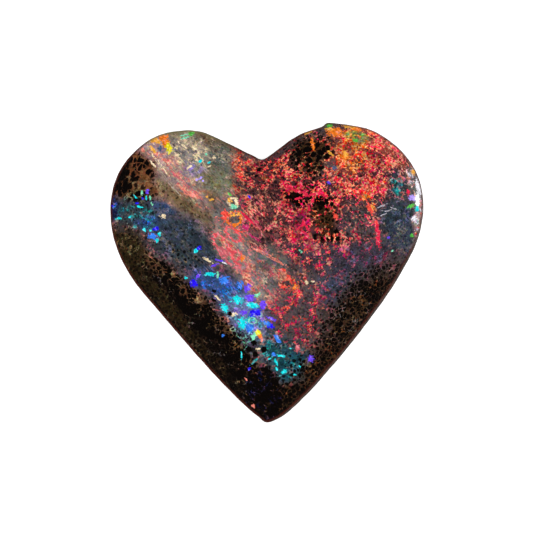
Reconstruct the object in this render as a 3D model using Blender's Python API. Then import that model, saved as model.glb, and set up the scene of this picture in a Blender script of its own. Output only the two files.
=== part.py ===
"""A heart-shaped polished boulder opal: one natural stone with a domed top, a thin girdle and a ground back.

Metres, +Z up. The stone lies on its back. The origin is on the back, under the middle of the outline's box,
+X runs across the two lobes and +Y runs from the point to the lobes.
"""

import math

import bmesh
import bpy
import numpy as np
from mathutils import Vector
from mathutils.geometry import interpolate_bezier

MM = 0.001

# Driving dimensions
WIDTH = 30.0 * MM  # across both lobes
LENGTH = 28.7 * MM  # from the point to the top of the higher lobe
THICKNESS = 5.2 * MM  # from the back to the crown of the dome

# The edge of the stone, from the back up
BACK_BEVEL = 0.35 * MM  # the ground edge round the back, as wide as it is high
WALL_TOP = 2.2 * MM  # where the wall ends and the dome starts
WALL_LEAN = 0.12 * MM  # the wall leans in by this much all round
FLANK_LEAN = 0.16 * MM  # and by this much more along the flank below the right lobe
FLANK_FACES = math.radians(-40)  # the way that flank faces
FLANK_FADE = 4  # more keeps that lean closer to the middle of the flank

# The dome
SHOULDER = 2.2  # how square the dome's shoulder is: 2 is an even curve and more is squarer
CROWN_SHIFT = 0.1  # how much the crown leans
CROWN_WAY = Vector((1, 1)).normalized()  # towards the right lobe
MIDDLE = Vector((0.8 * MM, 2.6 * MM))  # where the dome's rings close

# Fineness of the mesh
SPACING = 0.82 * MM  # between points along the outline
DOME_RINGS = 19
RING_BUNCHING = 1.45  # more than 1 brings the rings closer together at the edge
HANDLE = 1 / 3  # the reach of a curve handle, as a share of its span
NEAREST = 0.01 * MM  # a place on the line of an edge is taken to be this far aside of it
SHARP = math.radians(32)  # a fold of more than this is shaded as an edge

# The outline anticlockwise from the point, as shares of the width from the middle of the box.
# A corner is True. The hand-cut edge wanders a little from a true heart.
OUTLINE = [
    (-0.0095, -0.4760, True),  # the left end of the blunt point
    (0.0100, -0.4770, False),
    (0.0430, -0.4630, False),
    (0.1080, -0.4100, False),  # the long right flank
    (0.2180, -0.2880, False),
    (0.3170, -0.1650, False),
    (0.4190, -0.0180, False),
    (0.4770, 0.0930, False),  # the right lobe
    (0.5000, 0.2090, False),
    (0.4800, 0.3120, False),
    (0.4240, 0.3930, False),
    (0.3460, 0.4490, False),
    (0.2530, 0.4740, False),
    (0.1910, 0.4790, True),  # a small nib at the top of the right lobe
    (0.1760, 0.4690, False),
    (0.1100, 0.4450, False),
    (0.0650, 0.4190, False),
    (0.0130, 0.3790, False),
    (-0.0160, 0.3625, True),  # the cleft
    (-0.0690, 0.3870, False),
    (-0.1540, 0.4290, False),
    (-0.2050, 0.4495, False),
    (-0.2540, 0.4550, False),  # the left lobe
    (-0.3550, 0.4350, False),
    (-0.4330, 0.3760, False),
    (-0.4850, 0.2920, False),
    (-0.5000, 0.1920, False),
    (-0.4810, 0.0800, False),
    (-0.4340, -0.0150, False),
    (-0.3400, -0.1310, False),  # the long left flank
    (-0.2150, -0.2750, False),
    (-0.0840, -0.4130, False),
]


def clear_scene():
    for old in list(bpy.data.objects):
        bpy.data.objects.remove(old)


def polished_stone_material():
    material = bpy.data.materials.new("polished_opal_in_ironstone")
    material.use_nodes = True
    shader = material.node_tree.nodes["Principled BSDF"]
    shader.inputs["Base Color"].default_value = (0.055, 0.035, 0.038, 1.0)
    shader.inputs["Metallic"].default_value = 0.0
    shader.inputs["Roughness"].default_value = 0.12
    return material


def heading(index, other):
    """The way the outline runs at one of its points. At a corner it runs along the span that ends at other."""
    here = Vector(OUTLINE[index][:2])
    if OUTLINE[index][2]:
        towards = Vector(OUTLINE[other % len(OUTLINE)][:2]) - here
        return towards.normalized() if other > index else -towards.normalized()
    before = here - Vector(OUTLINE[index - 1][:2])
    after = Vector(OUTLINE[(index + 1) % len(OUTLINE)][:2]) - here
    return (before.normalized() + after.normalized()).normalized()


def outline():
    """Points round the widest edge of the stone, each near SPACING from the next, as an array of x and y."""
    points = []
    for index in range(len(OUTLINE)):
        start = Vector(OUTLINE[index][:2])
        end_index = (index + 1) % len(OUTLINE)
        end = Vector(OUTLINE[end_index][:2])
        reach = (end - start).length * HANDLE
        leaving = start + heading(index, index + 1) * reach
        arriving = end - heading(end_index, end_index - 1) * reach
        steps = max(1, round((end - start).length * WIDTH / SPACING))
        points += interpolate_bezier(start, leaving, arriving, end, steps + 1)[:-1]
    points = np.array([point[:2] for point in points])
    low, high = points.min(axis=0), points.max(axis=0)
    return (points - (low + high) / 2) / (high - low) * (WIDTH, LENGTH)


def inward(points):
    """The way in from the edge at each point of the outline, which runs anticlockwise."""
    along = np.roll(points, -1, axis=0) - np.roll(points, 1, axis=0)
    along /= np.linalg.norm(along, axis=1, keepdims=True)
    return np.stack([-along[:, 1], along[:, 0]], axis=1)


def depth(places, edge):
    """How far each place lies in from the edge, blended so that the dome gets no ridge.

    Beside a straight edge it is the true distance. Each stretch of edge adds the integral along it of
    1 / distance to the fourth power, which has a closed form.
    """
    total = np.zeros(len(places))
    for start, end in zip(edge, np.roll(edge, -1, axis=0), strict=True):
        length = np.linalg.norm(end - start)
        along = (end - start) / length
        offset = places - start
        near = -(offset @ along)
        far = near + length
        aside = np.maximum(np.abs(offset[:, 0] * along[1] - offset[:, 1] * along[0]), NEAREST)
        for bound, sign in ((far, 1), (near, -1)):
            straight = bound / (2 * aside**2 * (bound**2 + aside**2))
            total += sign * (straight + np.arctan(bound / aside) / (2 * aside**3))
    return (math.pi / 2 / total) ** (1 / 3)


def dome_heights(places, edge):
    """The height of the domed top at each place inside the edge."""
    share = depth(places, edge)
    share = share / share.max()
    heights = 1 - (1 - share) ** SHOULDER
    heights *= 1 + CROWN_SHIFT * (places @ np.array(CROWN_WAY)) / (WIDTH / 2)
    return WALL_TOP + (THICKNESS - WALL_TOP) * heights / heights.max()


class Shell:
    """A stack of rings, each drawn out of the last one."""

    def __init__(self, places, height):
        self.mesh = bmesh.new()
        self.spot = self.mesh.verts.layers.int.new("spot")
        vertices = [self.mesh.verts.new((*place, height)) for place in places]
        for number, vertex in enumerate(vertices):
            vertex[self.spot] = number
        pairs = zip(vertices, vertices[1:] + vertices[:1], strict=True)
        self.ring = [self.mesh.edges.new(pair) for pair in pairs]
        bmesh.ops.contextual_create(self.mesh, geom=self.ring)

    def draw_out(self, places, heights):
        vertices, edges = self.extrude()
        self.ring = [edge for edge in edges if self.runs_round(edge)]
        for vertex in vertices:
            number = vertex[self.spot]
            vertex.co = (*places[number], heights[number])

    def extrude(self):
        """The new vertices, which keep the spots of the old ones, and the new edges."""
        made = bmesh.ops.extrude_edge_only(self.mesh, edges=self.ring)["geom"]
        vertices = [item for item in made if isinstance(item, bmesh.types.BMVert)]
        edges = [item for item in made if isinstance(item, bmesh.types.BMEdge)]
        return vertices, edges

    def runs_round(self, edge):
        first, second = edge.verts
        return first[self.spot] != second[self.spot]

    def close(self, centre):
        vertices, _ = self.extrude()
        bmesh.ops.pointmerge(self.mesh, verts=vertices, merge_co=centre)

    def finish(self, name):
        bmesh.ops.recalc_face_normals(self.mesh, faces=self.mesh.faces)
        data = bpy.data.meshes.new(name)
        self.mesh.to_mesh(data)
        self.mesh.free()
        data.shade_smooth()
        data.set_sharp_from_angle(angle=SHARP)
        return data


def stone():
    widest = outline()
    way_in = inward(widest)
    lean = np.full(len(widest), WALL_LEAN)
    faces = np.array((math.cos(FLANK_FACES), math.sin(FLANK_FACES)))
    lean += FLANK_LEAN * np.clip(-(way_in @ faces), 0, 1) ** FLANK_FADE
    rim = widest + way_in * lean[:, None]

    shell = Shell(widest + way_in * BACK_BEVEL, 0.0)
    shell.draw_out(widest, np.full(len(widest), BACK_BEVEL))
    shell.draw_out(rim, np.full(len(widest), WALL_TOP))
    shares = [((ring + 1) / (DOME_RINGS + 1)) ** RING_BUNCHING for ring in range(DOME_RINGS)]
    rings = [rim + (np.array(MIDDLE) - rim) * share for share in shares]
    places = np.concatenate([*rings, np.array([MIDDLE])])
    heights = dome_heights(places, rim)
    for number, ring in enumerate(rings):
        first = number * len(rim)
        shell.draw_out(ring, heights[first : first + len(rim)])
    shell.close((*MIDDLE, heights[-1]))

    data = shell.finish("opal_stone")
    data.materials.append(polished_stone_material())
    made = bpy.data.objects.new("opal_stone", data)
    bpy.context.scene.collection.objects.link(made)
    return made


clear_scene()
stone()
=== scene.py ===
import math

import bmesh
import bpy
import numpy as np
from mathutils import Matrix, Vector, noise


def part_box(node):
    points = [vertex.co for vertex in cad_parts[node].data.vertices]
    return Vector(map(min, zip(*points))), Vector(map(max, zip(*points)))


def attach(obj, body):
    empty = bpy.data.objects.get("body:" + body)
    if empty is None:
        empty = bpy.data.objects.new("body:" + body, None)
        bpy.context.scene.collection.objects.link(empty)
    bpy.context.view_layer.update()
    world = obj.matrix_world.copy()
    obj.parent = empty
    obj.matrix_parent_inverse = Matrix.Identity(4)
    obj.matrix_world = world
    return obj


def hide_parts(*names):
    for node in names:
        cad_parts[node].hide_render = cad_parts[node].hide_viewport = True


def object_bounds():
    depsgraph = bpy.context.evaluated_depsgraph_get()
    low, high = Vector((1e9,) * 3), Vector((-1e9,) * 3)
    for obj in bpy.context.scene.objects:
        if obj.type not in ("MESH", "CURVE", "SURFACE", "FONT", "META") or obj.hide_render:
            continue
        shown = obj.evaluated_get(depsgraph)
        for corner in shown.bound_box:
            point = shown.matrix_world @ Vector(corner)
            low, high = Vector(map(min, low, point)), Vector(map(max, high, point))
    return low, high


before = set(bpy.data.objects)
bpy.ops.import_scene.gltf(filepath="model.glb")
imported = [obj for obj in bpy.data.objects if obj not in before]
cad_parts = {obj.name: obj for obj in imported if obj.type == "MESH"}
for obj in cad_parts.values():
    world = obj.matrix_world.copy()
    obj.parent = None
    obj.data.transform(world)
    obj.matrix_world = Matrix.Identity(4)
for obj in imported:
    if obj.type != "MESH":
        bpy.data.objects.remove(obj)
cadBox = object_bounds()
mm = 0.001
print("frame loaded")


# the camera looks straight down on the stone, with +Y up in the picture
viewSetup = {
    "lens": 135.0,  # a long lens, so the wall hardly shows
    "sensor": 36.0,
    "width": 50.92 * mm,  # what the picture takes in, at the height of the widest edge
    "aim": (-0.05 * mm, 0.57 * mm),
    "level": 0.35 * mm,  # of that edge
    "clip": (0.01, 10.0),
}


def makeCamera():
    data = bpy.data.cameras.new("straightDown")
    data.lens = viewSetup["lens"]
    data.sensor_width = viewSetup["sensor"]
    data.clip_start, data.clip_end = viewSetup["clip"]
    away = viewSetup["width"] * viewSetup["lens"] / viewSetup["sensor"]
    camera = bpy.data.objects.new("straightDown", data)
    camera.location = (*viewSetup["aim"], viewSetup["level"] + away)
    bpy.context.scene.collection.objects.link(camera)
    bpy.context.scene.camera = camera


makeCamera()
bpy.context.scene.view_settings.view_transform = "Standard"
print("camera placed")


class Wire:
    # one socket of a node tree; sums on wires add the Math nodes that they need
    def __init__(self, tree, socket=None):
        self.tree = tree
        self.socket = socket

    def node(self, kind, settings=None, sockets=None, out=0):
        made = self.tree.nodes.new(kind)
        for name, value in (settings or {}).items():
            setattr(made, name, value)
        for name, value in (sockets or {}).items():
            if isinstance(value, Wire):
                self.tree.links.new(value.socket, made.inputs[name])
            else:
                made.inputs[name].default_value = value
        return Wire(self.tree, made.outputs[out])

    def math(self, operation, *values):
        return self.node("ShaderNodeMath", {"operation": operation}, dict(enumerate(values)))

    def vector(self, operation, *values, out="Vector"):
        return self.node("ShaderNodeVectorMath", {"operation": operation}, dict(enumerate(values)), out)

    def __add__(self, other):
        return self.math("ADD", self, other)

    def __radd__(self, other):
        return self.math("ADD", other, self)

    def __sub__(self, other):
        return self.math("SUBTRACT", self, other)

    def __rsub__(self, other):
        return self.math("SUBTRACT", other, self)

    def __mul__(self, other):
        return self.math("MULTIPLY", self, other)

    def __rmul__(self, other):
        return self.math("MULTIPLY", other, self)

    def __pow__(self, other):
        return self.math("POWER", self, other)

    def __abs__(self):
        return self.math("ABSOLUTE", self)

    def most(self, other):
        return self.math("MAXIMUM", self, other)

    def least(self, other):
        return self.math("MINIMUM", self, other)

    def ramp(self, low, high, start=0.0, end=1.0):
        # start up to low, end from high on, and smooth between them; low may be the greater one
        return self.node(
            "ShaderNodeMapRange",
            {"interpolation_type": "SMOOTHSTEP"},
            {"Value": self, "From Min": low, "From Max": high, "To Min": start, "To Max": end},
        )

    def mix(self, first, second):
        # the first colour where this mask is 0, the second where it is 1
        return self.node("ShaderNodeMix", {"data_type": "RGBA"}, {0: self, 6: first, 7: second}, out=2)

    def blended(self, way, amount, other):
        # this colour with another one laid over it in one of the Mix node's ways
        settings = {"data_type": "RGBA", "blend_type": way}
        return self.node("ShaderNodeMix", settings, {0: amount, 6: self, 7: other}, out=2)

    def lit(self, light):
        # this colour made darker or lighter
        return self.node("ShaderNodeHueSaturation", {}, {"Value": light, "Color": self})

    def cloud(self, size, detail=2.0, out="Fac"):
        # soft noise at this place, with lumps of about that size
        sockets = {"Vector": self, "Scale": 1 / size, "Detail": detail}
        return self.node("ShaderNodeTexNoise", {}, sockets, out)

    def cells(self, size, feature="F1", out="Distance"):
        sockets = {"Vector": self, "Scale": 1 / size}
        return self.node("ShaderNodeTexVoronoi", {"feature": feature}, sockets, out)

    def shifted(self, by):
        return self.vector("ADD", self, by)

    def bent(self, size, amount, detail=2.0):
        # the same place pushed about by a noise, so that what is drawn with it gets ragged
        push = self.cloud(size, detail, out="Color")
        back = self.vector("SUBTRACT", self, (amount,) * 3)
        return self.vector("MULTIPLY_ADD", push, (2 * amount,) * 3, back)

    def patch(self, at, size, turn=0.0, edge=0.3):
        # a mask that is 1 inside an ellipse and fades over its edge, a share of its radius
        radius = self.reach(at, size, turn)
        return radius.ramp(1 + edge, 1 - edge)

    def reach(self, at, size, turn=0.0):
        # how far out this place is from the middle of an ellipse, which is 1 on the ellipse
        turned = self
        if turn:
            back = {"Vector": self, "Center": (*at, 0), "Angle": math.radians(-turn)}
            turned = self.node("ShaderNodeVectorRotate", {"rotation_type": "Z_AXIS"}, back)
        across = (1 / size[0], 1 / size[1], 0)
        start = (-at[0] / size[0], -at[1] / size[1], 0)
        return self.vector("LENGTH", turned.vector("MULTIPLY_ADD", turned, across, start), out="Value")


# the shell of the stone; its levels and its edge come from the frame
stoneForm = {
    "mergeWithin": 0.001 * mm,  # corners of the CAD's loose triangles this near are one
    "curveSteps": 16,  # between two points of the CAD's edge
    "placesRound": 720,
    "domeRings": 100,
    "wallRings": 7,
    "backRings": 26,
    "halvedAt": (0.55, 0.80, 0.93),  # shares of the way in where every second place is dropped
    "middle": (0.8 * mm, 2.6 * mm),  # where the rings of the dome and of the back close
    "shoulder": 2.2,  # how square the dome's shoulder is
    "crownShift": 0.1,  # how much the crown leans towards the right lobe
    "crownWay": (0.7071, 0.7071),
    "rounding": 0.06 * mm,  # of the three edges that run round the stone
    "roundingSteps": 3,
    "scallops": ((2.6 * mm, 0.070 * mm), (0.9 * mm, 0.050 * mm)),  # size and depth of the hand-cut waver
    "polishWaves": ((4.2 * mm, 0.022 * mm), (1.6 * mm, 0.005 * mm)),  # the same, of the dome
    "wavesFade": 1.0 * mm,  # the height above the wall over which those waves come up
    "grinding": ((1.3 * mm, 0.030 * mm), (0.35 * mm, 0.012 * mm)),  # and of the wall
    "hollowSize": 2.6 * mm,  # of the shallow hollows in the back
    "hollowNoise": (0.9, 2.1, 4),  # how fast its finer layers fade and shrink, and how many there are
    "hollowStart": 0.18,  # the noise's value where a hollow starts
    "hollowGain": 1.6,  # the deepest is this many times the depth below
    "hollowDepth": 0.11 * mm,
    "edgeStep": 3,  # every third place of the edge is enough to measure the dome from
    "nearest": 0.01 * mm,  # a place on the line of an edge is taken to be this far aside of it
}


def levelLoop(mesh, level, tolerance=0.002 * mm):
    # the points of the loop of edges round the stone at one level, anticlockwise seen from above
    nextTo = {}
    for edge in mesh.edges:
        beside = [vertex for face in edge.link_faces for vertex in face.verts if vertex not in edge.verts]
        onLevel = [abs(vertex.co.z - level) < tolerance for vertex in (*edge.verts, *beside)]
        if all(onLevel[:2]) and not all(onLevel):
            first, second = edge.verts
            nextTo.setdefault(first, []).append(second)
            nextTo.setdefault(second, []).append(first)
    start = max(nextTo, key=lambda vertex: vertex.co.x)
    loop = [start]
    step = max(nextTo[start], key=lambda vertex: vertex.co.y)
    while step is not start:
        loop.append(step)
        one, other = nextTo[step]
        step = other if one is loop[-2] else one
    return np.array([vertex.co[:2] for vertex in loop])


def evenLoop(points, count):
    # that many places, an even way apart, on a smooth closed curve through the points
    before, after, beyond = (np.roll(points, places, axis=0) for places in (1, -1, -2))
    share = np.linspace(0, 1, stoneForm["curveSteps"], endpoint=False)[:, None, None]
    curve = points + share * (after - before) / 2
    curve = curve + share**2 * (2 * before - 5 * points + 4 * after - beyond) / 2
    curve = curve + share**3 * (3 * points - before - 3 * after + beyond) / 2
    curve = curve.transpose(1, 0, 2).reshape(-1, 2)
    closed = np.concatenate([curve, curve[:1]])
    along = np.concatenate([[0], np.cumsum(np.linalg.norm(np.diff(closed, axis=0), axis=1))])
    wanted = np.linspace(0, along[-1], count, endpoint=False)
    return np.stack([np.interp(wanted, along, closed[:, axis]) for axis in (0, 1)], axis=1)


def inward(points):
    # the way in from the edge at each place
    along = np.roll(points, -1, axis=0) - np.roll(points, 1, axis=0)
    along /= np.linalg.norm(along, axis=1, keepdims=True)
    return np.stack([-along[:, 1], along[:, 0]], axis=1)


def waver(places, layers, level=0.0):
    # how deep each place is cut, from 0 to the layers' depths together
    deep = np.zeros(len(places))
    for size, depth in layers:
        lumps = [noise.noise(Vector((x, y, level)) / size) for x, y in places]
        deep += depth * (np.array(lumps) + 1) / 2
    return deep


def depthInside(places, edge):
    # a smooth distance from the edge: each stretch of edge adds its integral of 1 / distance to the fourth
    total = np.zeros(len(places))
    for start, end in zip(edge, np.roll(edge, -1, axis=0)):
        length = np.linalg.norm(end - start)
        along = (end - start) / length
        offset = places - start
        near = -(offset @ along)
        far = near + length
        aside = np.abs(offset[:, 0] * along[1] - offset[:, 1] * along[0])
        aside = np.maximum(aside, stoneForm["nearest"])
        for bound, sign in ((far, 1), (near, -1)):
            straight = bound / (2 * aside**2 * (bound**2 + aside**2))
            total += sign * (straight + np.arctan(bound / aside) / (2 * aside**3))
    return (math.pi / 2 / total) ** (1 / 3)


def domeHeights(places, edge, low, high, halfWidth):
    # a low smooth dome that follows the edge and is highest a little towards the right lobe
    share = depthInside(places, edge)
    heights = 1 - (1 - share / share.max()) ** stoneForm["shoulder"]
    lean = stoneForm["crownShift"] * (places @ np.array(stoneForm["crownWay"])) / halfWidth
    heights = heights * (1 + lean)
    return low + (high - low) * heights / heights.max()


class Shell:
    # a closed skin that grows ring by ring from one loop of edges
    def __init__(self, places, level):
        self.mesh = bmesh.new()
        self.spot = self.mesh.verts.layers.int.new("spot")
        made = [self.mesh.verts.new((x, y, level)) for x, y in places]
        for number, vertex in enumerate(made):
            vertex[self.spot] = number
        self.first = [self.mesh.edges.new(pair) for pair in zip(made, made[1:] + made[:1])]
        self.ring = self.first

    def grow(self, places, heights):
        made = bmesh.ops.extrude_edge_only(self.mesh, edges=self.ring)["geom"]
        edges = [item for item in made if isinstance(item, bmesh.types.BMEdge)]
        self.ring = [edge for edge in edges if edge.verts[0][self.spot] != edge.verts[1][self.spot]]
        for vertex in self.ringVertices():
            number = vertex[self.spot]
            vertex.co = (*places[number], heights[number])

    def ringVertices(self):
        return {vertex for edge in self.ring for vertex in edge.verts}

    def halve(self):
        # every second place of the ring joins the one before it
        bySpot = {vertex[self.spot]: vertex for vertex in self.ringVertices()}
        joined = {vertex: bySpot[number - 1] for number, vertex in bySpot.items() if number % 2}
        bmesh.ops.weld_verts(self.mesh, targetmap=joined)
        kept = {vertex for vertex in bySpot.values() if vertex.is_valid}
        for vertex in kept:
            vertex[self.spot] //= 2
        self.ring = [edge for edge in self.mesh.edges if edge.is_boundary and kept.issuperset(edge.verts)]

    def close(self, place, height):
        made = bmesh.ops.extrude_edge_only(self.mesh, edges=self.ring)["geom"]
        last = [item for item in made if isinstance(item, bmesh.types.BMVert)]
        bmesh.ops.pointmerge(self.mesh, verts=last, merge_co=(*place, height))


def ringShares(count):
    return [(ring + 1) / (count + 1) for ring in range(count)]


def ringPlaces(edge, shares):
    # the places of each ring, with every second one dropped where the rings get small
    middle = np.array(stoneForm["middle"])
    rings, current, halved = [], edge, 0
    for share in shares:
        rings.append(current + (middle - current) * share)
        if halved < len(stoneForm["halvedAt"]) and share > stoneForm["halvedAt"][halved]:
            current = current[::2]
            halved += 1
    return rings


def growInwards(shell, rings, heights, last):
    first = 0
    for number, ring in enumerate(rings):
        shell.grow(ring, heights[first : first + len(ring)])
        first += len(ring)
        if number + 1 < len(rings) and len(rings[number + 1]) < len(ring):
            shell.halve()
    shell.close(stoneForm["middle"], last)


def stoneShell():
    source = bmesh.new()
    source.from_mesh(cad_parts["opal_stone"].data)
    bmesh.ops.remove_doubles(source, verts=source.verts, dist=stoneForm["mergeWithin"])
    low, widestLevel, rimLevel = sorted({round(vertex.co.z, 6) for vertex in source.verts})[:3]
    count = stoneForm["placesRound"]
    widest = evenLoop(levelLoop(source, widestLevel), count)
    rim = evenLoop(levelLoop(source, rimLevel), count)
    back = evenLoop(levelLoop(source, low), count)
    source.free()

    wayIn = inward(widest)
    cut = waver(widest, stoneForm["scallops"])[:, None]
    widest, rim, back = widest + wayIn * cut, rim + wayIn * cut, back + wayIn * cut
    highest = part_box("opal_stone")[1]
    creases = []

    # up the wall and over the dome
    shell = Shell(widest, widestLevel)
    creases += shell.first
    for number in range(1, stoneForm["wallRings"]):
        share = number / stoneForm["wallRings"]
        level = widestLevel + (rimLevel - widestLevel) * share
        cut = waver(widest, stoneForm["grinding"], level)[:, None]
        shell.grow(widest + (rim - widest) * share + wayIn * cut, [level] * count)
    shell.grow(rim, [rimLevel] * count)
    creases += shell.ring
    rings = ringPlaces(rim, ringShares(stoneForm["domeRings"]))
    places = np.concatenate([*rings, [stoneForm["middle"]]])
    heights = domeHeights(places, rim[:: stoneForm["edgeStep"]], rimLevel, highest.z, highest.x)
    waves = waver(places, stoneForm["polishWaves"])
    heights -= waves * np.clip((heights - rimLevel) / stoneForm["wavesFade"], 0, 1)
    growInwards(shell, rings, heights, heights[-1])

    # down over the bevelled edge and across the back
    shell.ring = shell.first
    shell.grow(back, [low] * count)
    creases += shell.ring
    rings = ringPlaces(back, ringShares(stoneForm["backRings"]))
    places = np.concatenate([*rings, [stoneForm["middle"]]])
    spots = [Vector((x, y, 0)) / stoneForm["hollowSize"] for x, y in places]
    hollows = np.array([noise.fractal(spot, *stoneForm["hollowNoise"]) for spot in spots])
    hollows = np.clip(hollows - stoneForm["hollowStart"], 0, 1)
    heights = low + stoneForm["hollowDepth"] * hollows * stoneForm["hollowGain"]
    growInwards(shell, rings, heights, heights[-1])

    bmesh.ops.bevel(
        shell.mesh,
        geom=creases,
        offset=stoneForm["rounding"],
        segments=stoneForm["roundingSteps"],
        affect="EDGES",
        profile=0.5,
        material=-1,
    )
    for vertex in shell.mesh.verts:  # the bevel may dip under the back where it meets a hollow
        vertex.co.z = max(vertex.co.z, low)
    bmesh.ops.recalc_face_normals(shell.mesh, faces=shell.mesh.faces)
    return shell.mesh, rimLevel


# the flat layout that the finish is painted out on: the dome large, then the back, then the wall as a strip
layout = {
    "domeWidth": 0.70,
    "domeCorner": (0.005, 0.06),
    "backWidth": 0.275,
    "backCorner": (0.715, 0.06),
    "strip": (0.004, 0.992),  # where the wall's strip starts and how far it runs
    "stripHeight": (0.006, 0.046),
    "domeReach": 0.6,  # how far the dome's layout runs below the wall's top, in roundings
    "domeFacing": 0.1,  # the least that a face of it looks up
    "backReach": 3,  # how far up the back's layout runs, in roundings
    "backFacing": -0.9,
}


def layOut(mesh, rimLevel):
    layer = mesh.loops.layers.uv.new("OFBake")
    lowest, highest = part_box("opal_stone")
    width = highest.x - lowest.x
    left, run = layout["strip"]
    bottom, top = layout["stripHeight"]
    middle = Vector((*stoneForm["middle"], 0))
    domeFrom = rimLevel - stoneForm["rounding"] * layout["domeReach"]
    backTo = stoneForm["rounding"] * layout["backReach"]
    for face in mesh.faces:
        centre = face.calc_center_median()
        if centre.z > domeFrom and face.normal.z > layout["domeFacing"]:
            corner, size = layout["domeCorner"], layout["domeWidth"]
        elif face.normal.z < layout["backFacing"] and centre.z < backTo:
            corner, size = layout["backCorner"], layout["backWidth"]
        else:
            offsets = [(loop.vert.co.x - middle.x, loop.vert.co.y - middle.y) for loop in face.loops]
            around = [math.atan2(y, x) for x, y in offsets]
            wraps = max(around) - min(around) > math.pi
            for loop, angle in zip(face.loops, around):
                turn = (angle + 2 * math.pi if wraps and angle < 0 else angle) / (2 * math.pi) + 0.5
                rise = min(max(loop.vert.co.z / rimLevel, 0.0), 1.0)
                loop[layer].uv = (left + run * min(turn, 1.0), bottom + (top - bottom) * rise)
            continue
        for loop in face.loops:
            across = (loop.vert.co.x - lowest.x) / width
            upward = (loop.vert.co.y - lowest.y) / width
            loop[layer].uv = (corner[0] + size * across, corner[1] + size * upward)


def makeStone():
    mesh, rimLevel = stoneShell()
    layOut(mesh, rimLevel)
    data = bpy.data.meshes.new("polished_heart_opal")
    mesh.to_mesh(data)
    mesh.free()
    data.shade_smooth()
    stone = bpy.data.objects.new("polished_heart_opal", data)
    bpy.context.scene.collection.objects.link(stone)
    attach(stone, "root")
    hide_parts("opal_stone")
    return stone, rimLevel / mm


stone, wallTop = makeStone()  # the top of the wall in mm
print("stone shaped:", len(stone.data.polygons), "faces")


# the colours of the finish, as they look in plain light
colours = {
    "ironstone": "060302", "oliveBlack": "281e0e", "oliveBrown": "2b2211", "blackBrown": "1d120c",
    "umber": "3a2514", "brown": "735a40", "rust": "5c3018", "tan": "8c7052", "khaki": "7a7250",
    "ash": "625d5c", "smoke": "473e41", "redSmoke": "40262a", "greyRose": "8c7676", "mauve": "a08490",
    "beige": "b39f8c", "oliveGrey": "727260", "greenGrey": "55605a", "slate": "2b353e",
    "slateBlue": "2c4268", "steel": "5a6688", "navy": "141a3c", "deepTeal": "16424c",
    "purpleGrey": "3b343f", "redLine": "4a1c14", "crimson": "f2244c", "magenta": "c42866",
    "coral": "ff5344", "salmon": "ee8474", "rose": "dc6a74", "orange": "ff8224", "amber": "ffb545",
    "yellow": "fff01a", "cream": "ffe6bc", "white": "f8f6ff", "leaf": "58c048", "mint": "86e8bc",
    "rustBrown": "6c4026", "rustRed": "7c3a30", "paleAsh": "82797a", "wine": "4c2a30", "bark": "352417",
    "barkLight": "563a26", "frost": "b4b0bc", "dusk": "363c4c", "darkOlive": "241a0b", "cyan": "0cecf4",
    "teal": "189a9c", "azure": "3888ff", "blue": "2610ff", "violet": "7648ff", "lilac": "b69cff",
    "peach": "ffb088", "melon": "fa5c66", "garnet": "a83450",
}
lightGain = 1.15  # the studio light on a level surface, which the colours allow for


def colour(name):
    # the linear colour that a socket takes, for a colour as it looks on a screen
    code = colours[name]
    channels = [int(code[start : start + 2], 16) / 255 for start in (0, 2, 4)]
    linear = [c / 12.92 if c <= 0.04045 else ((c + 0.055) / 1.055) ** 2.4 for c in channels]
    return (*[channel / lightGain for channel in linear], 1.0)


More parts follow.
